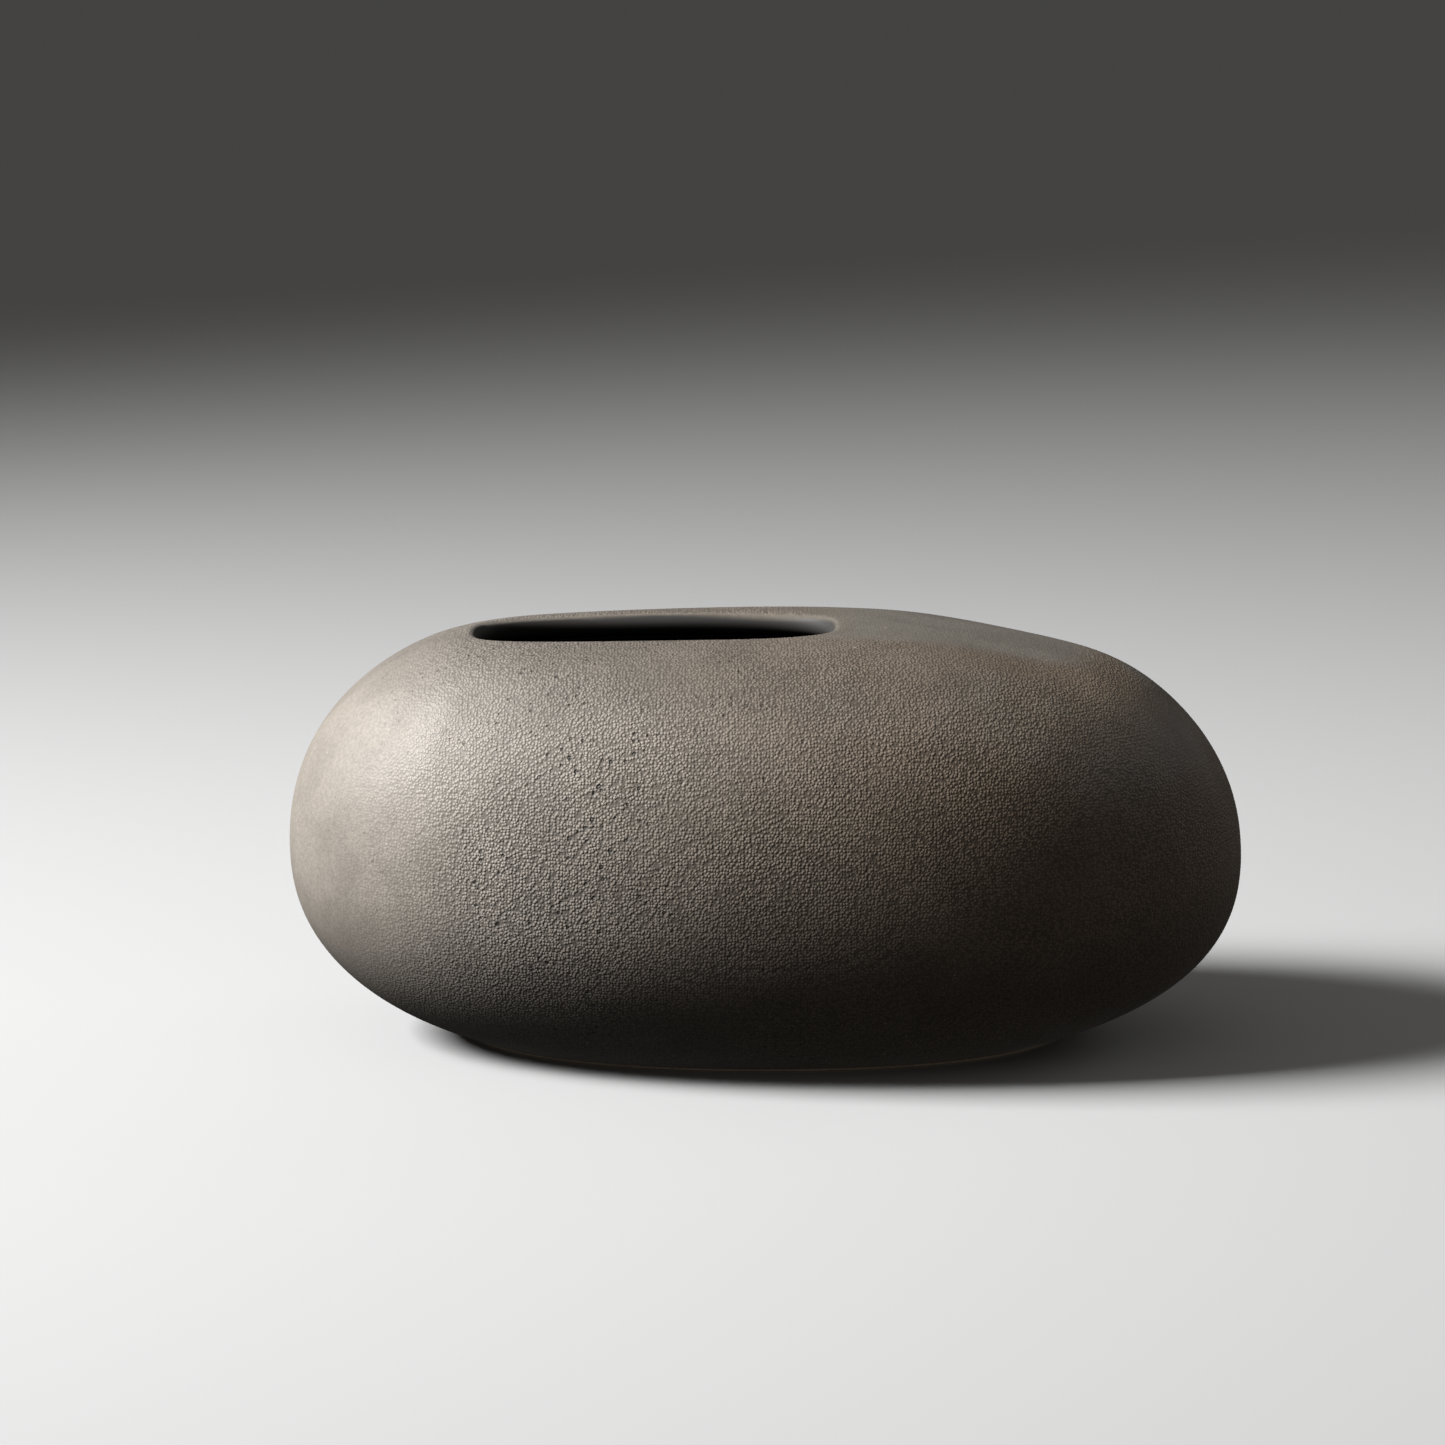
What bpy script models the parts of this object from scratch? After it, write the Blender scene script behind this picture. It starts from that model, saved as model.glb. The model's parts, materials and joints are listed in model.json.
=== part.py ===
"""Pebble-shaped stoneware vase: a hollow fired shell, its glaze lining and four foot pads.

Metres, +Z up, +X along the longest side. The origin lies under the middle of the vase, on the
surface that it stands on.
"""

import math

import bmesh
import bpy

# Body, seen from above
LENGTH = 0.250
DEPTH = 0.140
OUTLINE_POWER = 2.15  # 2 is an ellipse, and more is fuller

# Body, seen from the side
CROWN_HEIGHT = 0.1068  # of the flattened top, over the origin
CROWN_SLOPE = -0.0428  # rise for each metre along X
CROWN_RADIUS = 0.44  # of its gentle curve from front to back
CROWN_BLEND = 0.0076  # how softly the dome turns into the flattened top
WAIST_HEIGHT = 0.050  # of the widest level
WAIST_SLOPE = -0.014
DOME_OVER = 0.0074  # how far the dome would stand above the crown if it weren't flattened
DOME_POWER = 2.1
SHOULDER_POWER = 3.16
SHOULDER_SWING = 0.214  # makes the -X shoulder fuller and the +X shoulder leaner
BOWL_UNDER = 0.0065  # how far the bowl would reach below the surface if the foot didn't end it
BOWL_POWER = 2.3
BELLY_POWER = 2.85
BELLY_SWING = 0.25

# Low swelling of the top, which the mouth is cut through
BROW_X = 0.0325
BROW_RISE = 0.0031
BROW_DEPTH = 0.107
BROW_FADE_LEFT = 0.093  # how far it takes to fade out towards -X
BROW_FADE_RIGHT = 0.047
BROW_FADE_SIDE = 0.017

# Mouth
MOUTH_X = -0.029
MOUTH_LENGTH = 0.0915
MOUTH_DEPTH = 0.0385
MOUTH_POWER = 3.15
LIP_RADIUS = 0.0032

# Walls
WALL = 0.006
FLOOR_THICKNESS = 0.006
FLOOR_BLEND = 0.012  # how softly the inner wall turns into the floor
FIT_GAP = 0.0003  # between pieces that touch
LINING = 0.001
LINING_SETBACK = 0.001  # from the underside of the lip

# Foot
FOOT_LENGTH = 0.156
FOOT_DEPTH = 0.088
FOOT_BAND = 0.0005  # height of the upright bare edge
FOOT_RING_WIDTH = 0.005
RECESS_DEPTH = 0.002
PAD_STAND = 0.0005  # how far the pads stand proud of the foot ring
PAD_DIAMETER = 0.008
PAD_CLEARANCE = 0.002  # from the recess wall
PAD_ROUNDING = 0.0006

# Fineness of the meshes
SEGMENTS = 60  # round the body and its lining, which share them so that their facets run side by side
PAD_SEGMENTS = 24
FLANK_RINGS = 11
TOP_RINGS = 14
LIP_RINGS = 5
UNDER_LIP_RINGS = 4
CEILING_RINGS = 8
HOLLOW_RINGS = 9
MERGE = 1e-6
SHARP_ANGLE = math.radians(40)

RECESS_HEIGHT = PAD_STAND + RECESS_DEPTH
FOOT_TOP = PAD_STAND + FOOT_BAND
DOME_RISE = CROWN_HEIGHT + DOME_OVER - WAIST_HEIGHT
BOWL_DROP = WAIST_HEIGHT + BOWL_UNDER


def outline(turn, length, depth, power, grow=0.0):
    """The point at a share of a full turn round a rounded oblong, grown by some distance all round."""
    angle = 2 * math.pi * turn
    across = math.copysign(abs(math.cos(angle)) ** (2 / power), math.cos(angle))
    away = math.copysign(abs(math.sin(angle)) ** (2 / power), math.sin(angle))
    return (length / 2 + grow) * across, (depth / 2 + grow) * away


def waist_outline(turn, inset):
    """The widest level of the body, or of a surface that lies some distance inside it."""
    return outline(turn, LENGTH, DEPTH, OUTLINE_POWER, -inset)


def mouth_outline(turn, grow):
    """The clear opening, grown by some distance."""
    x, y = outline(turn, MOUTH_LENGTH, MOUTH_DEPTH, MOUTH_POWER, grow)
    return x + MOUTH_X, y


def foot_outline(turn, grow=0.0):
    """The outer edge of the foot ring, grown by some distance."""
    return outline(turn, FOOT_LENGTH, FOOT_DEPTH, OUTLINE_POWER, grow)


def between(start, end, share):
    """The point part of the way from one place to another."""
    return tuple(a + (b - a) * share for a, b in zip(start, end))


def soft_min(a, b, blend):
    """The lower of two heights, with a rounded turn from one to the other."""
    share = min(max(0.5 + 0.5 * (b - a) / blend, 0.0), 1.0)
    return b * (1 - share) + a * share - blend * share * (1 - share)


def spread_and_facing(x, y, inset):
    """How far out a place lies, from 0 in the middle to 1 at the waist, and how much it faces +X."""
    across = x / (LENGTH / 2 - inset)
    away = y / (DEPTH / 2 - inset)
    spread = (abs(across) ** OUTLINE_POWER + abs(away) ** OUTLINE_POWER) ** (1 / OUTLINE_POWER)
    facing = across / max(math.hypot(across, away), MERGE)
    return min(spread, 1.0), facing


def ease(share):
    """A share from 0 to 1 that starts and ends level."""
    share = min(max(share, 0.0), 1.0)
    return share * share * (3 - 2 * share)


def brow_height(x, y):
    """The rise of the low swelling above the flattened top."""
    fade = BROW_FADE_LEFT if x < BROW_X else BROW_FADE_RIGHT
    along = ease(1 - abs(x - BROW_X) / fade)
    return BROW_RISE * along * ease((BROW_DEPTH / 2 - abs(y)) / BROW_FADE_SIDE)


def upper_height(x, y, inset):
    """Height of the top of the body, or of a surface that lies some distance inside it."""
    spread, facing = spread_and_facing(x, y, inset)
    shoulder = SHOULDER_POWER - SHOULDER_SWING * facing
    dome = WAIST_HEIGHT + (DOME_RISE - inset) * (1 - spread**shoulder) ** (1 / DOME_POWER)
    dome += WAIST_SLOPE * x * spread**2
    crown = CROWN_HEIGHT + CROWN_SLOPE * x - y**2 / (2 * CROWN_RADIUS) - inset
    return soft_min(dome, crown, CROWN_BLEND) + brow_height(x, y)


def bowl_height(x, y, inset):
    """Height of the hollow's lower half, which flattens into a floor."""
    spread, facing = spread_and_facing(x, y, inset)
    belly = BELLY_POWER - BELLY_SWING * facing
    bowl = WAIST_HEIGHT - (BOWL_DROP - inset) * (1 - spread**belly) ** (1 / BOWL_POWER)
    bowl += WAIST_SLOPE * x * spread**2
    floor = RECESS_HEIGHT + FLOOR_THICKNESS + inset - WALL
    return -soft_min(-bowl, -floor, FLOOR_BLEND)


def flat_ring(place, height):
    """A level ring."""
    return lambda turn: (*place(turn), height)


def flank_ring(share):
    """A ring of the outer bowl, from the foot at 0 to the waist at 1."""
    steepest = math.asin(((WAIST_HEIGHT - FOOT_TOP) / BOWL_DROP) ** (BOWL_POWER / 2))

    def place(turn):
        waist = waist_outline(turn, 0.0)
        facing = spread_and_facing(*waist, 0.0)[1]
        belly = BELLY_POWER - BELLY_SWING * facing
        angle = steepest * (1 - share)
        narrowest = math.cos(steepest) ** (2 / belly)
        out = (math.cos(angle) ** (2 / belly) - narrowest) / (1 - narrowest)
        x, y = between(foot_outline(turn), waist, out)
        drop = BOWL_DROP * math.sin(angle) ** (2 / BOWL_POWER)
        return x, y, WAIST_HEIGHT - drop + WAIST_SLOPE * x * out**2

    return place


def upper_ring(share, inset, mouth_grow):
    """A ring of the top, from the waist at 0 to the mouth at 1."""

    def place(turn):
        inward = 1 - math.cos(share * math.pi / 2)
        x, y = between(waist_outline(turn, inset), mouth_outline(turn, mouth_grow), inward)
        return x, y, upper_height(x, y, inset)

    return place


def bowl_ring(share, inset):
    """A ring of the hollow's lower half, from the middle of its floor at 0 to the waist at 1."""

    def place(turn):
        out = math.sin(share * math.pi / 2)
        x, y = between((0.0, 0.0), waist_outline(turn, inset), out)
        return x, y, bowl_height(x, y, inset)

    return place


def inner_face(inset, mouth_grow):
    """Rings up the inside, from the middle of the floor at some depth below the skin to the mouth."""
    rings = [bowl_ring(share, inset) for share in shares(HOLLOW_RINGS)]
    rings += [upper_ring(share, inset, mouth_grow) for share in shares(CEILING_RINGS)[1:]]
    return rings


def lip_ring(share):
    """A ring of the rounded rim, from its top at 0 to the clear opening at 1."""
    angle = share * math.pi / 2

    def place(turn):
        x, y = mouth_outline(turn, LIP_RADIUS * (1 - math.sin(angle)))
        return x, y, upper_height(x, y, 0.0) - LIP_RADIUS * (1 - math.cos(angle))

    return place


def under_lip_ring(share):
    """A ring of the rim's underside, from the clear opening at 0 to the ceiling at 1."""
    angle = share * math.pi / 2
    radius = WALL - LIP_RADIUS

    def place(turn):
        x, y = mouth_outline(turn, radius * (1 - math.cos(angle)))
        return x, y, upper_height(x, y, WALL) + radius * (1 - math.sin(angle))

    return place


def shares(count):
    """Evenly spaced shares from 0 to 1, both ends included."""
    return [step / (count - 1) for step in range(count)]


def foot_rings():
    """Rings from the middle of the underside to the top of the bare foot edge."""
    recess = -FOOT_RING_WIDTH
    half_recess = min(FOOT_LENGTH, FOOT_DEPTH) / 4
    return [
        flat_ring(lambda turn: (0.0, 0.0), RECESS_HEIGHT),
        flat_ring(lambda turn: foot_outline(turn, recess - half_recess), RECESS_HEIGHT),
        flat_ring(lambda turn: foot_outline(turn, recess), RECESS_HEIGHT),
        flat_ring(lambda turn: foot_outline(turn, recess), PAD_STAND),
        flat_ring(lambda turn: foot_outline(turn), PAD_STAND),
    ]


def wrap(name, rings):
    """A closed skin through rings that run from one middle to another."""
    bm = bmesh.new()
    bmesh.ops.create_grid(bm, x_segments=SEGMENTS, y_segments=len(rings) - 1, size=0.5)
    for vertex in bm.verts:
        ring = rings[round((vertex.co.y + 0.5) * (len(rings) - 1))]
        vertex.co = ring(vertex.co.x + 0.5)
    bmesh.ops.remove_doubles(bm, verts=bm.verts, dist=MERGE)
    bmesh.ops.recalc_face_normals(bm, faces=bm.faces)
    return finish_mesh(name, bm)


def finish_mesh(name, bm):
    """A smooth-shaded mesh with its true edges kept sharp."""
    mesh = bpy.data.meshes.new(name)
    bm.to_mesh(mesh)
    bm.free()
    mesh.shade_smooth()
    mesh.set_sharp_from_angle(angle=SHARP_ANGLE)
    return mesh


def material(name, colour, roughness):
    """A plain finish."""
    made = bpy.data.materials.new(name)
    made.use_nodes = True
    shader = made.node_tree.nodes["Principled BSDF"]
    shader.inputs["Base Color"].default_value = (*colour, 1.0)
    shader.inputs["Roughness"].default_value = roughness
    shader.inputs["Metallic"].default_value = 0.0
    return made


def add_object(name, mesh, finish, location=(0.0, 0.0, 0.0)):
    """An object in the scene with one finish."""
    made = bpy.data.objects.new(name, mesh)
    made.location = location
    if not mesh.materials:
        mesh.materials.append(finish)
    bpy.context.scene.collection.objects.link(made)
    return made


def add_vase_body():
    """The fired shell: foot, bowl, top, rounded lip and hollow inside."""
    rings = foot_rings()
    rings += [flank_ring(share) for share in shares(FLANK_RINGS)]
    rings += [upper_ring(share, 0.0, LIP_RADIUS) for share in shares(TOP_RINGS)[1:]]
    rings += [lip_ring(share) for share in shares(LIP_RINGS)[1:]]
    rings += [under_lip_ring(share) for share in shares(UNDER_LIP_RINGS)[1:]]
    rings += inner_face(WALL, WALL - LIP_RADIUS)[-2::-1]
    add_object("vase_body", wrap("vase_body", rings), material("outer_glaze", (0.20, 0.175, 0.15), 0.5))


def add_inner_glaze():
    """The glaze coat that makes the hollow watertight."""
    rim = WALL - LIP_RADIUS + LINING_SETBACK
    outer = inner_face(WALL + FIT_GAP, rim)
    inner = inner_face(WALL + FIT_GAP + LINING, rim)
    rings = outer + inner[::-1]
    add_object("inner_glaze", wrap("inner_glaze", rings), material("inner_glaze", (0.03, 0.028, 0.026), 0.2))


def pad_mesh():
    """A low round bumper with softened edges, standing on the origin."""
    height = RECESS_HEIGHT - FIT_GAP
    bm = bmesh.new()
    bmesh.ops.create_cone(
        bm,
        cap_ends=True,
        segments=PAD_SEGMENTS,
        radius1=PAD_DIAMETER / 2,
        radius2=PAD_DIAMETER / 2,
        depth=height,
    )
    bmesh.ops.translate(bm, verts=bm.verts, vec=(0.0, 0.0, height / 2))
    rims = [edge for edge in bm.edges if abs(edge.verts[0].co.z - edge.verts[1].co.z) < MERGE]
    bmesh.ops.bevel(
        bm,
        geom=rims,
        offset=PAD_ROUNDING,
        offset_type="OFFSET",
        segments=2,
        profile=0.5,
        affect="EDGES",
    )
    return finish_mesh("foot_pad", bm)


def add_foot_pads():
    """Four bumpers in the recess, one towards each corner."""
    mesh = pad_mesh()
    finish = material("foot_pad", (0.02, 0.02, 0.02), 0.85)
    inward = FOOT_RING_WIDTH + PAD_CLEARANCE + PAD_DIAMETER / 2
    for corner in range(4):
        x, y = foot_outline((2 * corner + 1) / 8, -inward)
        add_object(f"foot_pad_{corner + 1}", mesh, finish, (x, y, 0.0))


def main():
    for old in list(bpy.data.objects):
        bpy.data.objects.remove(old)
    add_vase_body()
    add_inner_glaze()
    add_foot_pads()


main()
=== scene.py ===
"""Looks of a pebble-shaped stoneware vase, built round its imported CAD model.

Metres, in the CAD model's own frame: +Z up, +X along the longest side, and the vase stands on z = 0.
"""

import json
import math

import bmesh
import bpy
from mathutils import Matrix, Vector, noise


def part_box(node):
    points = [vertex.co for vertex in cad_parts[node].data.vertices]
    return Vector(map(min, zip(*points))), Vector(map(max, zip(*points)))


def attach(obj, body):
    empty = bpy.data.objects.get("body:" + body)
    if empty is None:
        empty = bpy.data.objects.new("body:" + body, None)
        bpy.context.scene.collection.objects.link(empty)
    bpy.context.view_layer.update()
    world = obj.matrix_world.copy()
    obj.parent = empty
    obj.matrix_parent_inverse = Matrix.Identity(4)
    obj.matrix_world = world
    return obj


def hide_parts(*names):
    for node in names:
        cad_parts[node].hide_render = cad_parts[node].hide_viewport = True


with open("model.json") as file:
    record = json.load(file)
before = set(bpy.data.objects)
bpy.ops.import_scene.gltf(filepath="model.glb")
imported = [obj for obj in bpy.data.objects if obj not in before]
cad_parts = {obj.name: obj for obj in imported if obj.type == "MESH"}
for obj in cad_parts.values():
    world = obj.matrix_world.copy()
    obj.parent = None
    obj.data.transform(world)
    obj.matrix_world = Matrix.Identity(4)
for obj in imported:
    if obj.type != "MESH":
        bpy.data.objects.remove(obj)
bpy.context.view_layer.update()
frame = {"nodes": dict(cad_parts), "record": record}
BODY_LOW, BODY_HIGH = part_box("vase_body")
MIDDLE = (BODY_LOW + BODY_HIGH) / 2
HALF = (BODY_HIGH - BODY_LOW) / 2
OPENINGS = {box["name"]: box["box_m"] for box in frame["record"]["physics"]["openings"]}
MOUTH_LOW, MOUTH_HIGH = (Vector(corner) for corner in OPENINGS["mouth"])
MOUTH_MIDDLE = (MOUTH_LOW + MOUTH_HIGH) / 2

# Meshes
MERGE = 1e-6
TRUE_EDGE = math.radians(42)  # a sharper turn between two faces is a real edge
QUAD_ANGLE = math.radians(40)
EDGE_ROUNDING = 0.00012
SUBDIVISIONS = 2

# Unevenness of a hand-made shell
SWELL = 0.00022
SWELL_LENGTH = 0.045
SWELL_FADE = 0.012  # height over the foot at which it reaches its full size

# Glaze relief
GRAIN = 0.00078  # spacing of the beads
GRAIN_DISORDER = 0.72  # 0 is a strict lattice, and 1 is wholly random
GRAIN_TOP = 0.15  # distance from a bead's middle to the edge of its top, in spacings
GRAIN_EDGE = 0.75  # and to the bottom of the gap round it
GRAIN_HEIGHT = 0.00018
GRAIN_PAINTED_HIGHLIGHT = 1.20  # painted highlight on the beads
GRAIN_PAINTED_SHADE = 0.62  # painted shade in the gaps
WANDER = 0.0002  # how far the beads and pits stray from a regular shape
WANDER_LENGTH = 0.0016
PIT = 0.00078
PIT_SPACING = 0.0020
PIT_DEPTH = 0.00025
# strength of the painted shade in the pinholes
PIT_SHADE_STRENGTH = 0.85
FLECK = 0.0005
FLECK_SPACING = 0.0042
FLECK_STRENGTH = 0.5
SPOT_CORE = 0.55  # share of a spot's radius within which it is at its full strength
SPOT_LEAST = 0.02  # the smallest radius of a spot, as a share of the spacing

# Wear of the glaze, and a painted highlight at the -X end, as places along X
WORN_SMOOTH = BODY_LOW.x + 0.012  # the stipple is faint up to here
WORN_END = BODY_LOW.x + 0.058  # and at its full strength from here
PAINTED_HIGHLIGHT_FULL = BODY_LOW.x + 0.045  # the painted highlight is at its palest up to here
PAINTED_HIGHLIGHT_END = BODY_LOW.x + 0.120  # and gone from here
PAINTED_HIGHLIGHT_STRENGTH = 0.6

# Painted shade: the glaze's colour made darker at the -X tip, low on the belly and on the shoulders
TIP_END = BODY_LOW.x + 0.050  # painted shade darkens the pale end from here to its tip
PAINTED_TIP_SHADE = 0.84  # painted shade at the tip
BELLY_START = MIDDLE.z + 0.1 * HALF.z  # painted shade darkens the belly from here down
BELLY_END = BODY_LOW.z + 0.008
PAINTED_BELLY_SHADE = 0.58  # painted shade from there down
TOP_START = MIDDLE.z + 0.5 * HALF.z  # painted shade darkens the shoulders from here up
PAINTED_TOP_SHADE = 0.66  # painted shade at the highest point

# Flattened top
TOP_SLOPE = 0.043  # fall for each metre along X
TOP_LEVEL = BODY_HIGH.z - 0.002  # its height over the origin

# Ash grey darkened with painted shade on the flattened top, which starts at the first of each two and is
# whole from the second
ASH_LEVELS = (TOP_LEVEL - 0.004, TOP_LEVEL - 0.001)
ASH_BESIDE = (MOUTH_HIGH.x - 0.010, MOUTH_HIGH.x + 0.020)
ASH_BEHIND = (MOUTH_LOW.y - 0.012, MOUTH_LOW.y - 0.002)
ASH_AND_SHADE_STRENGTH = 0.8

# Throat
THROAT = "throat"  # the attribute that tells the rim's inner side from the outside

# Foot
BARE_TOP = BODY_LOW.z + 0.0021  # no unglazed clay lies above this

# Pads
PAD_SEGMENTS = 48
PAD_STICKER = 0.0003  # thickness of the sticky disc
PAD_DOME = 0.0004  # height of one step of the domed underside

# Stage
FLOOR_HALF = 40.0
FLOOR_SHADE = 0.44
AIR_COLOUR = (1.0, 0.98, 0.95, 1.0)
ZENITH = 0.16  # brightness of the surroundings straight overhead
OVERHEAD = 0.7  # the share of the far floor's light that the brightness overhead decides
SIDEWAYS = 1 - OVERHEAD  # and the share that the brightness at the horizon decides
HORIZON = FLOOR_SHADE * OVERHEAD * ZENITH / (1 - FLOOR_SHADE * SIDEWAYS)  # as bright as the far floor
KEY_BEARING = math.radians(187)
KEY_ELEVATION = math.radians(36)
KEY_SIZE = 0.85
KEY_POWER = 26.0
KEY_SPREAD = math.radians(70)
FILL_BEARING = math.radians(30)
FILL_ELEVATION = math.radians(25)
FILL_SIZE = 1.2
FILL_POWER = 1.2
FILL_SPREAD = math.radians(90)
LAMP_DISTANCE = 2.4
CAMERA_PLACE = (-0.0113, -1.174, 0.311)
CAMERA_PITCH = math.radians(11.01)
CAMERA_LENS = 114.1
SENSOR = 36.0

# Where a Mix node for colours has its share and its two colours among its inputs, and its result
# among its outputs, because several sockets of that node have the same name
MIX_SHARE = 0
MIX_FIRST = 6
MIX_SECOND = 7
MIX_RESULT = 2


def ease(share):
    """A share from 0 to 1 that starts and ends level."""
    share = min(max(share, 0.0), 1.0)
    return share * share * (3 - 2 * share)


# Nodes


def set_input(tree, socket, value):
    """Joins a socket to another node's output, or sets it to a value."""
    if isinstance(value, bpy.types.NodeSocket):
        tree.links.new(value, socket)
    else:
        socket.default_value = value


def add_node(tree, kind, inputs=None, **settings):
    """A node with its settings, and its inputs joined to other nodes or set to values."""
    made = tree.nodes.new(kind)
    for name, value in settings.items():
        setattr(made, name, value)
    for name, value in (inputs or {}).items():
        set_input(tree, made.inputs[name], value)
    return made


def maths(tree, operation, *values):
    """One sum, on sockets or numbers."""
    made = add_node(tree, "ShaderNodeMath", dict(enumerate(values)), operation=operation)
    return made.outputs[0]


def product(tree, first, *others):
    """Shares multiplied together."""
    for other in others:
        first = maths(tree, "MULTIPLY", first, other)
    return first


def fade(tree, value, start, end, low=0.0, high=1.0):
    """A soft step of a value, from low at its start to high at its end."""
    made = add_node(
        tree,
        "ShaderNodeMapRange",
        {"Value": value, "From Min": start, "From Max": end, "To Min": low, "To Max": high},
        interpolation_type="SMOOTHSTEP",
    )
    return made.outputs["Result"]


def mix_colours(tree, share, first, second, blend="MIX"):
    """Two colours, mixed by a share."""
    made = add_node(tree, "ShaderNodeMix", data_type="RGBA", blend_type=blend)
    set_input(tree, made.inputs[MIX_SHARE], share)
    for place, colour in ((MIX_FIRST, first), (MIX_SECOND, second)):
        fixed = isinstance(colour, tuple)
        set_input(tree, made.inputs[place], (*colour, 1.0) if fixed else colour)
    return made.outputs[MIX_RESULT]


def shaded(tree, share, colour, low, high):
    """A colour times low where the share is 0, and times high where it is 1."""
    value = fade(tree, share, 0.0, 1.0, low, high)
    grey = add_node(tree, "ShaderNodeCombineColor", {"Red": value, "Green": value, "Blue": value})
    return mix_colours(tree, 1.0, colour, grey.outputs["Color"], blend="MULTIPLY")


def clouds(tree, place, size, detail=2.0, rough=0.5, warp=0.0):
    """Soft noise whose blobs are about so many metres across."""
    made = add_node(
        tree,
        "ShaderNodeTexNoise",
        {"Vector": place, "Scale": 1 / size, "Detail": detail, "Roughness": rough, "Distortion": warp},
    )
    return made.outputs["Fac"]


def patches(tree, place, size, detail=2.0, rough=0.5, start=0.3, end=0.7, low=0.0, high=1.0):
    """Soft patches, low where the noise is under its start and high where it is over its end."""
    return fade(tree, clouds(tree, place, size, detail, rough), start, end, low, high)


def spots(tree, place, spacing, largest, kept):
    """Round spots scattered on the surface: 1 in the middle of each, 0 outside."""
    cells = add_node(
        tree,
        "ShaderNodeTexVoronoi",
        {"Vector": place, "Scale": 1 / spacing, "Randomness": 1.0},
        feature="F1",
    )
    lot = add_node(tree, "ShaderNodeSeparateColor", {"Color": cells.outputs["Color"]})
    reach = product(tree, lot.outputs["Green"], largest / spacing)
    chosen = maths(tree, "LESS_THAN", lot.outputs["Red"], kept)
    edge = maths(tree, "DIVIDE", cells.outputs["Distance"], maths(tree, "MAXIMUM", reach, SPOT_LEAST))
    return product(tree, fade(tree, edge, 1.0, SPOT_CORE), chosen)


def bump(tree, height, depth, under=None):
    """The normal of a surface with a relief so many metres deep, on top of another relief."""
    inputs = {"Height": height, "Distance": depth, "Strength": 1.0}
    if under is not None:
        inputs["Normal"] = under
    return add_node(tree, "ShaderNodeBump", inputs).outputs["Normal"]


# Finishes


def new_finish(name, roughness, specular=0.5):
    """A material with its node tree, its shader and where things are on the piece."""
    made = bpy.data.materials.new(name)
    made.use_nodes = True
    tree = made.node_tree
    shader = tree.nodes["Principled BSDF"]
    shader.inputs["Roughness"].default_value = roughness
    shader.inputs["Specular IOR Level"].default_value = specular
    place = add_node(tree, "ShaderNodeTexCoord").outputs["Object"]
    return made, tree, shader, place


def mottled(tree, place, colour):
    """A colour with soft blotches and a fine grain."""
    blotches = patches(tree, place, size=0.016, detail=4.0, rough=0.55, end=0.66)
    blotched = shaded(tree, blotches, colour, low=0.91, high=1.05)
    grain = patches(tree, place, size=0.0011, rough=0.6)
    return shaded(tree, grain, blotched, low=0.92, high=1.08)


def ash_zone(tree, x, y, z):
    """The smoother stretch of the flattened top, greyer and darker with painted shade, beside the mouth and
    behind its near lip.
    """
    level = maths(tree, "MULTIPLY_ADD", x, TOP_SLOPE, z)
    high = fade(tree, level, *ASH_LEVELS)
    beside = fade(tree, x, *ASH_BESIDE)
    behind = fade(tree, y, *ASH_BEHIND)
    return product(tree, high, beside, behind)


def glaze_colour(tree, place, x, z, ashen):
    """Warm taupe, clouded with brown towards +X partly as painted shade, ash grey with painted shade on the
    flattened top, a painted highlight at the -X end, and painted shade at its tip, low on the belly and on
    the shoulders.
    """
    taupe = (0.222, 0.190, 0.157)
    brown = (0.185, 0.140, 0.100)
    ash_and_shade = (0.165, 0.152, 0.130)
    # pale is the painted highlight's colour at the -X end, where the key light falls
    pale = (0.285, 0.260, 0.230)
    # brown clouds, partly the glaze's own tone and partly painted shade on the darker +X side
    drift = clouds(tree, place, size=0.070, detail=3.0, rough=0.55, warp=0.4)
    towards_shaded_right = fade(tree, x, -0.3 * HALF.x, 0.6 * HALF.x, low=0.15)
    brown_shade_share = product(tree, fade(tree, drift, 0.26, 0.52), towards_shaded_right)
    painted_highlight_share = fade(tree, x, PAINTED_HIGHLIGHT_END, PAINTED_HIGHLIGHT_FULL, high=PAINTED_HIGHLIGHT_STRENGTH)
    colour = mix_colours(tree, brown_shade_share, taupe, brown)
    # ash grey on the flattened top, darkened as painted shade
    colour = mix_colours(tree, product(tree, ashen, ASH_AND_SHADE_STRENGTH), colour, ash_and_shade)
    colour = mix_colours(tree, painted_highlight_share, colour, pale)
    # Painted shade at the -X tip, low on the belly and on the shoulders
    tip = fade(tree, x, TIP_END, BODY_LOW.x)
    belly = fade(tree, z, BELLY_START, BELLY_END)
    top = fade(tree, z, TOP_START, BODY_HIGH.z)
    for share, shade in ((tip, PAINTED_TIP_SHADE), (belly, PAINTED_BELLY_SHADE), (top, PAINTED_TOP_SHADE)):
        colour = shaded(tree, share, colour, low=1.0, high=shade)
    return colour


def wandering(tree, place):
    """Places that stray a little, so that what is drawn on them isn't regular."""
    drift = add_node(tree, "ShaderNodeTexNoise", {"Vector": place, "Scale": 1 / WANDER_LENGTH, "Detail": 1.0})
    shift = add_node(
        tree,
        "ShaderNodeVectorMath",
        {0: drift.outputs["Color"], 1: (WANDER, WANDER, WANDER)},
        operation="MULTIPLY",
    )
    moved = add_node(tree, "ShaderNodeVectorMath", {0: place, 1: shift.outputs[0]}, operation="ADD")
    return moved.outputs[0]


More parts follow.
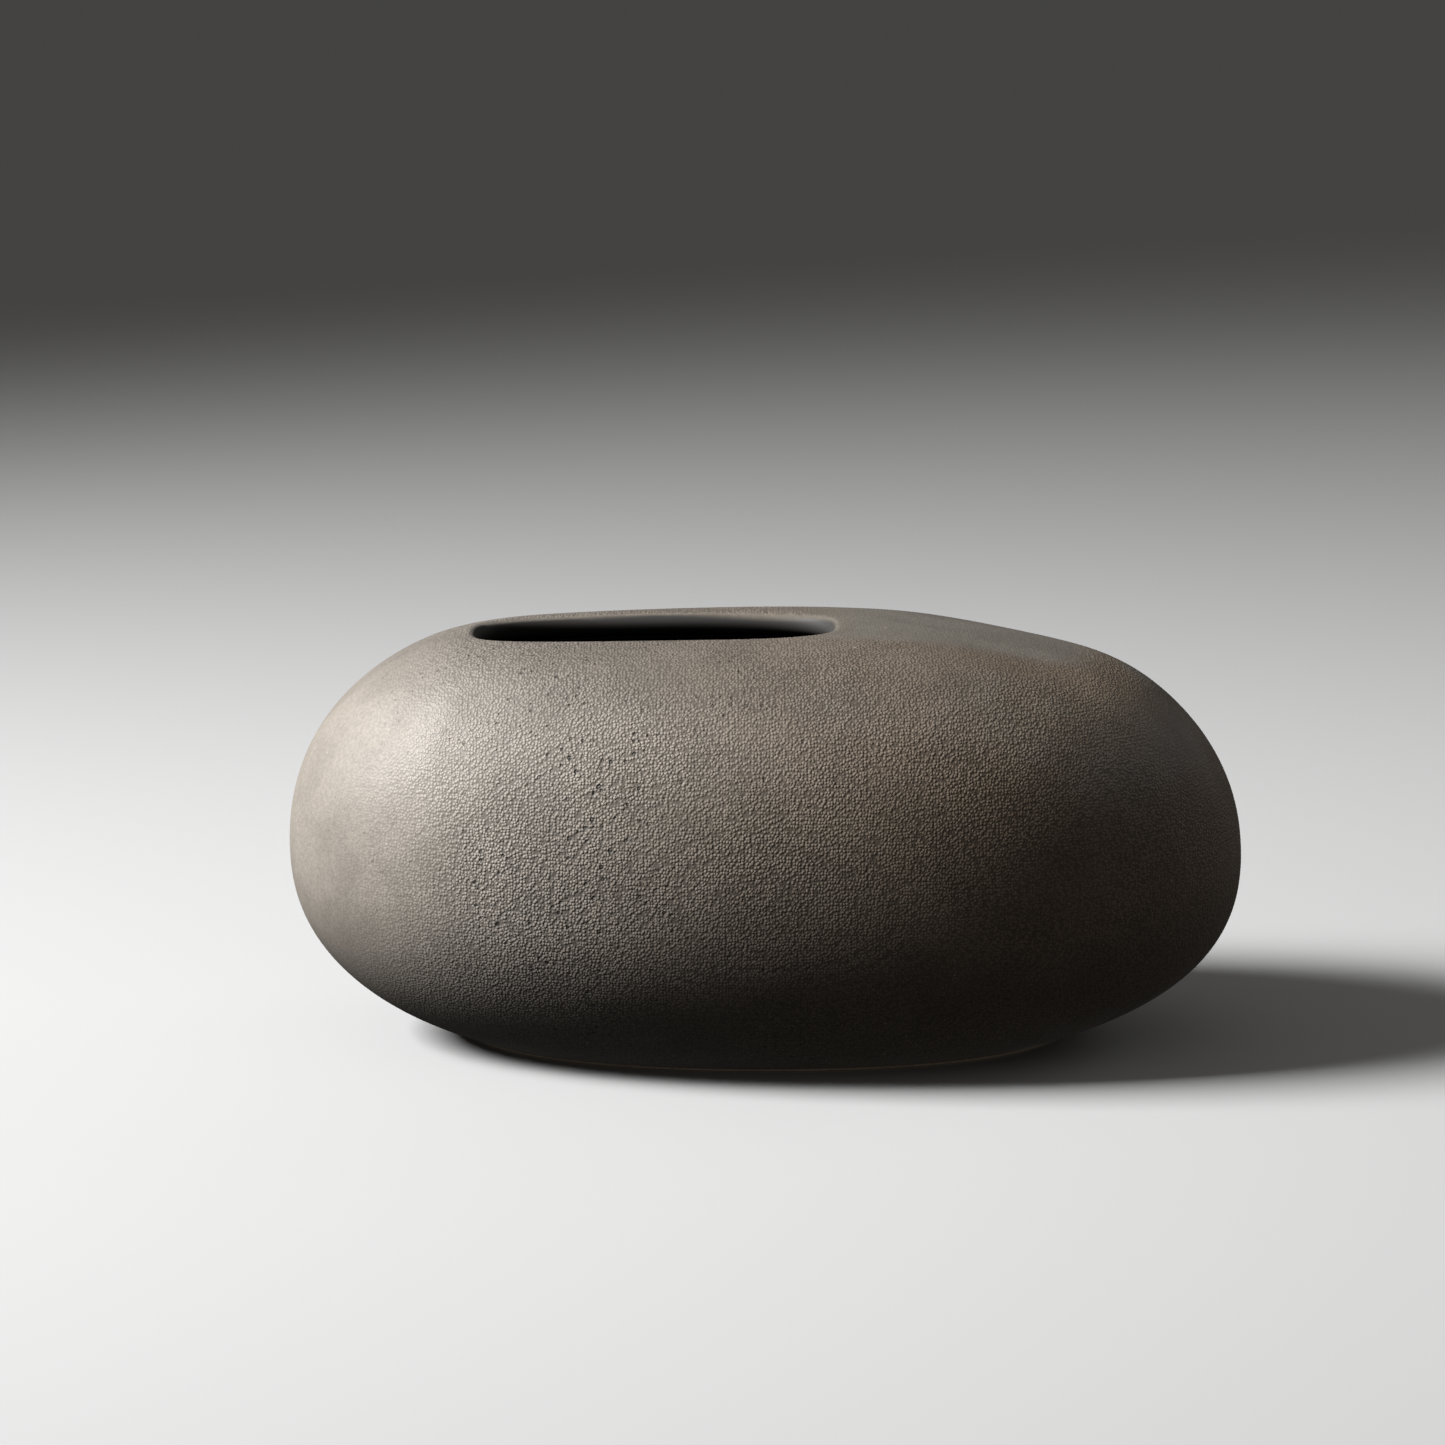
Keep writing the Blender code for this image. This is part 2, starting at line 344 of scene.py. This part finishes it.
def grains(tree, place):
    """Leathery beads, 1 on top of each and 0 in the gaps between them."""
    cells = add_node(
        tree,
        "ShaderNodeTexVoronoi",
        {"Vector": place, "Scale": 1 / GRAIN, "Randomness": GRAIN_DISORDER},
        feature="F1",
    )
    return fade(tree, cells.outputs["Distance"], GRAIN_EDGE, GRAIN_TOP)


def stipple_share(tree, place, x, ashen, outside):
    """How strongly the beads show: patchy, less on the ashen top and at the worn -X end, none inside."""
    worn = fade(tree, x, WORN_SMOOTH, WORN_END, low=0.12)
    patchy = patches(tree, place, size=0.035, low=0.7)
    settled = fade(tree, ashen, 0.0, 1.0, low=1.0, high=0.35)
    return product(tree, worn, patchy, settled, outside)


def pinholes(tree, place, strayed, x, stippled):
    """Pinholes in loose crowds, mostly on the -X side, where the glaze is stippled."""
    crowded = patches(tree, place, size=0.030, start=0.34, end=0.58, low=0.3)
    towards_left = fade(tree, x, 0.3 * HALF.x, -0.25 * HALF.x, low=0.2)
    pits = spots(tree, strayed, PIT_SPACING, PIT, kept=0.7)
    return product(tree, pits, crowded, towards_left, stippled)


def outer_glaze():
    """Matte stoneware glaze: mottled taupe with a fine stipple and pinholes, and smooth in the throat;
    painted highlights on the beads, painted shade in their gaps and pinholes, and near-black painted shade in
    the throat.
    """
    pit_painted_shade = (0.035, 0.030, 0.025)
    fleck_cream = (0.45, 0.41, 0.36)
    throat_painted_shade = (0.028, 0.026, 0.024)
    made, tree, shader, place = new_finish("outer_glaze_stippled", roughness=0.5, specular=0.36)
    parts = add_node(tree, "ShaderNodeSeparateXYZ", {"Vector": place})
    x, y, z = parts.outputs["X"], parts.outputs["Y"], parts.outputs["Z"]
    throat = add_node(tree, "ShaderNodeAttribute", attribute_name=THROAT).outputs["Fac"]
    outside = fade(tree, throat, 0.5, 0.0)
    ashen = ash_zone(tree, x, y, z)
    stippled = stipple_share(tree, place, x, ashen, outside)
    strayed = wandering(tree, place)
    beads = grains(tree, strayed)
    pits = pinholes(tree, place, strayed, x, stippled)
    flecks = product(tree, spots(tree, place, FLECK_SPACING, FLECK, kept=0.4), outside)

    colour = mottled(tree, place, glaze_colour(tree, place, x, z, ashen))
    # painted highlight on the bead tops and painted shade in the gaps between them
    painted_bead_light = shaded(tree, beads, colour, low=GRAIN_PAINTED_SHADE, high=GRAIN_PAINTED_HIGHLIGHT)
    colour = mix_colours(tree, stippled, colour, painted_bead_light)
    # painted shade in the pinholes
    colour = mix_colours(tree, product(tree, pits, PIT_SHADE_STRENGTH), colour, pit_painted_shade)
    colour = mix_colours(tree, product(tree, flecks, FLECK_STRENGTH), colour, fleck_cream)
    # painted shade: near black on the rim's inner side and inside the mouth
    colour = mix_colours(tree, fade(tree, throat, 0.35, 0.85), colour, throat_painted_shade)
    tree.links.new(colour, shader.inputs["Base Color"])

    raised = bump(tree, product(tree, beads, stippled), GRAIN_HEIGHT)
    pitted = bump(tree, product(tree, pits, -1.0), PIT_DEPTH, under=raised)
    tree.links.new(pitted, shader.inputs["Normal"])

    matte = patches(tree, place, size=0.020, detail=3.0, low=0.52, high=0.64)
    dry = fade(tree, throat, 0.2, 1.0, low=0.40, high=0.75)
    tree.links.new(maths(tree, "MAXIMUM", matte, dry), shader.inputs["Roughness"])
    return made


def bare_clay():
    """Unglazed fired clay: pale, dry and sandy."""
    sand = (0.44, 0.35, 0.26)
    toasted = (0.36, 0.28, 0.205)
    speck = (0.13, 0.09, 0.06)
    made, tree, shader, place = new_finish("bare_clay", roughness=0.9, specular=0.3)
    colour = mix_colours(tree, patches(tree, place, size=0.015, detail=3.0), sand, toasted)
    grit = spots(tree, place, spacing=0.0022, largest=0.0004, kept=0.5)
    colour = mix_colours(tree, product(tree, grit, 0.6), colour, speck)
    tree.links.new(mottled(tree, place, colour), shader.inputs["Base Color"])
    sandy = clouds(tree, place, size=0.0007, detail=3.0, rough=0.65)
    tree.links.new(bump(tree, sandy, depth=0.00018), shader.inputs["Normal"])
    return made


def lining_painted_shade():
    """Glossy glaze, slightly rippled, coloured near black as painted shade, in random deeper and lighter
    patches.
    """
    # both colours are near-black painted shade
    deepest_shade = (0.022, 0.020, 0.019)
    thin = (0.040, 0.035, 0.030)
    made, tree, shader, place = new_finish("inner_glaze_painted_shade", roughness=0.2)
    drift = patches(tree, place, size=0.030, detail=3.0, start=0.35, end=0.65)
    tree.links.new(mix_colours(tree, drift, deepest_shade, thin), shader.inputs["Base Color"])
    shine = patches(tree, place, size=0.010, low=0.16, high=0.30)
    tree.links.new(shine, shader.inputs["Roughness"])
    ripples = clouds(tree, place, size=0.008)
    tree.links.new(bump(tree, ripples, depth=0.00030), shader.inputs["Normal"])
    return made


def pad_rubber():
    """Soft dark rubber with a dusty bloom."""
    black = (0.018, 0.018, 0.018)
    bloom = (0.050, 0.048, 0.045)
    made, tree, shader, place = new_finish("pad_rubber_dusty", roughness=0.8, specular=0.4)
    dust = patches(tree, place, size=0.0020, detail=3.0, rough=0.6, start=0.45, end=0.75)
    tree.links.new(mix_colours(tree, dust, black, bloom), shader.inputs["Base Color"])
    tree.links.new(bump(tree, clouds(tree, place, size=0.0004), depth=0.00004), shader.inputs["Normal"])
    return made


def floor_paint():
    """Plain pale paint, with a barely visible unevenness in its shine."""
    made, tree, shader, place = new_finish("floor_paint", roughness=0.9, specular=0.0)
    shader.inputs["Base Color"].default_value = (FLOOR_SHADE, FLOOR_SHADE, FLOOR_SHADE, 1.0)
    shine = patches(tree, place, size=0.4, low=0.85, high=0.95)
    tree.links.new(shine, shader.inputs["Roughness"])
    return made


# Pieces


def merged_copy(node):
    """A CAD node's surface as one joined mesh of four-sided faces."""
    bm = bmesh.new()
    bm.from_mesh(frame["nodes"][node].data)
    bmesh.ops.remove_doubles(bm, verts=bm.verts, dist=MERGE)
    bmesh.ops.join_triangles(
        bm,
        faces=bm.faces,
        angle_face_threshold=QUAD_ANGLE,
        angle_shape_threshold=math.pi,
    )
    return bm


def round_true_edges(bm):
    """Softens the corners that are real edges, not facets of a smooth stretch."""
    edges = [edge for edge in bm.edges if edge.calc_face_angle(0.0) > TRUE_EDGE]
    bmesh.ops.bevel(
        bm,
        geom=edges,
        offset=EDGE_ROUNDING,
        offset_type="OFFSET",
        segments=2,
        profile=0.5,
        affect="EDGES",
        material=-1,
        clamp_overlap=True,
    )


def make_uneven(bm):
    """Swells and sinks the surface a little, as a hand-made shell does, and leaves the foot flat."""
    for vertex in bm.verts:
        outward = (vertex.co - MIDDLE).normalized()
        steady = ease((vertex.co.z - BARE_TOP) / SWELL_FADE)
        vertex.co += outward * SWELL * steady * noise.noise(vertex.co / SWELL_LENGTH)


def mark_throat(bm):
    """Marks the rim's inner side and everything below it, where the glaze lies smooth."""
    layer = bm.verts.layers.float.new(THROAT)
    bm.normal_update()
    for vertex in bm.verts:
        inward = MOUTH_MIDDLE - vertex.co
        inward.z = 0.0
        facing = vertex.normal.dot(inward.normalized())
        inside = vertex.normal.dot(vertex.co - MIDDLE) < 0.0
        vertex[layer] = 1.0 if inside else ease(facing)


def add_piece(name, bm, finishes, node, subdivisions=0):
    """A smooth-shaded piece that stands for a CAD node and rides with it."""
    mesh = bpy.data.meshes.new(name)
    bm.to_mesh(mesh)
    bm.free()
    mesh.shade_smooth()
    for finish in finishes:
        mesh.materials.append(finish)
    made = bpy.data.objects.new(name, mesh)
    bpy.context.scene.collection.objects.link(made)
    if subdivisions:
        smooth = made.modifiers.new("smooth", "SUBSURF")
        smooth.levels = subdivisions
        smooth.render_levels = subdivisions
    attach(made, "root")
    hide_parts(node)
    return made


def add_shell(glaze, clay):
    """The vase itself: glazed outside and round the lip, and bare underneath."""
    bm = merged_copy("vase_body")
    for face in bm.faces:
        bare = max(vertex.co.z for vertex in face.verts) < BARE_TOP
        face.material_index = 1 if bare else 0
    round_true_edges(bm)
    mark_throat(bm)
    make_uneven(bm)
    add_piece("stoneware_shell", bm, (glaze, clay), "vase_body", SUBDIVISIONS)


def add_lining(glaze):
    """The glaze coat inside."""
    bm = merged_copy("inner_glaze")
    make_uneven(bm)
    add_piece("glaze_lining", bm, (glaze,), "inner_glaze", SUBDIVISIONS)


def add_pad(number, rubber):
    """A soft bumper: a thin sticky disc under the clay and a domed pad that stands on the floor."""
    low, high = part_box(f"foot_pad_{number}")
    radius = (high.x - low.x) / 2
    centre = (low + high) / 2
    disc_underside = high.z - PAD_STICKER
    # Each ring's share of the radius, and its height
    profile = (
        (0.97, disc_underside),
        (0.90, disc_underside),
        (0.90, low.z + 2 * PAD_DOME),
        (0.86, low.z + PAD_DOME),
        (0.74, low.z + PAD_DOME / 4),
        (0.50, low.z),
    )
    bm = bmesh.new()
    bmesh.ops.create_circle(bm, cap_ends=True, segments=PAD_SEGMENTS, radius=radius)
    bmesh.ops.translate(bm, verts=bm.verts, vec=(centre.x, centre.y, high.z))
    rim = bm.edges[:]
    for share, height in profile:
        made = bmesh.ops.extrude_edge_only(bm, edges=rim)
        ring = [item for item in made["geom"] if isinstance(item, bmesh.types.BMVert)]
        for vertex in ring:
            out = Vector((vertex.co.x - centre.x, vertex.co.y - centre.y, 0.0)).normalized()
            vertex.co = Vector((centre.x, centre.y, height)) + out * radius * share
        rim = [item for item in made["geom"] if isinstance(item, bmesh.types.BMEdge)]
    bmesh.ops.contextual_create(bm, geom=rim)
    bmesh.ops.recalc_face_normals(bm, faces=bm.faces)
    piece = add_piece(f"bumper_{number}", bm, (rubber,), f"foot_pad_{number}")
    piece.data.set_sharp_from_angle(angle=TRUE_EDGE)


# Stage


def add_floor(paint):
    """A plain floor that takes the vase's shadow, and throws no light back at it."""
    bm = bmesh.new()
    bmesh.ops.create_grid(bm, x_segments=1, y_segments=1, size=FLOOR_HALF)
    mesh = bpy.data.meshes.new("floor")
    bm.to_mesh(mesh)
    bm.free()
    mesh.materials.append(paint)
    made = bpy.data.objects.new("floor", mesh)
    made.visible_diffuse = False
    made.visible_glossy = False
    bpy.context.scene.collection.objects.link(made)


def add_softbox(name, bearing, elevation, size, power, spread):
    """A soft square studio lamp that points at the middle of the vase."""
    level = math.cos(elevation)
    towards = Vector((level * math.cos(bearing), level * math.sin(bearing), math.sin(elevation)))
    lamp = bpy.data.lights.new(name, "AREA")
    lamp.shape = "SQUARE"
    lamp.size = size
    lamp.energy = power
    lamp.spread = spread
    made = bpy.data.objects.new(name, lamp)
    made.location = MIDDLE + towards * LAMP_DISTANCE
    made.rotation_euler = towards.to_track_quat("Z", "Y").to_euler()
    bpy.context.scene.collection.objects.link(made)


def add_surroundings():
    """A dim studio, brightest overhead and as bright as the far floor at the horizon."""
    world = bpy.data.worlds.new("studio")
    world.use_nodes = True
    tree = world.node_tree
    direction = add_node(tree, "ShaderNodeTexCoord").outputs["Generated"]
    height = add_node(tree, "ShaderNodeSeparateXYZ", {"Vector": direction}).outputs["Z"]
    backdrop = tree.nodes["Background"]
    backdrop.inputs["Color"].default_value = AIR_COLOUR
    tree.links.new(fade(tree, height, 0.0, 1.0, HORIZON, ZENITH), backdrop.inputs["Strength"])
    bpy.context.scene.world = world


def add_camera():
    """A long lens that looks slightly down on the vase."""
    lens = bpy.data.cameras.new("camera")
    lens.lens = CAMERA_LENS
    lens.sensor_width = SENSOR
    made = bpy.data.objects.new("camera", lens)
    made.location = CAMERA_PLACE
    made.rotation_euler = (math.pi / 2 - CAMERA_PITCH, 0.0, 0.0)
    bpy.context.scene.collection.objects.link(made)
    bpy.context.scene.camera = made


add_shell(outer_glaze(), bare_clay())
add_lining(lining_painted_shade())
rubber = pad_rubber()
for number in (1, 2, 3, 4):
    add_pad(number, rubber)
add_floor(floor_paint())
add_softbox("key", KEY_BEARING, KEY_ELEVATION, KEY_SIZE, KEY_POWER, KEY_SPREAD)
add_softbox("fill", FILL_BEARING, FILL_ELEVATION, FILL_SIZE, FILL_POWER, FILL_SPREAD)
add_surroundings()
add_camera()
bpy.context.scene.view_settings.view_transform = "Standard"
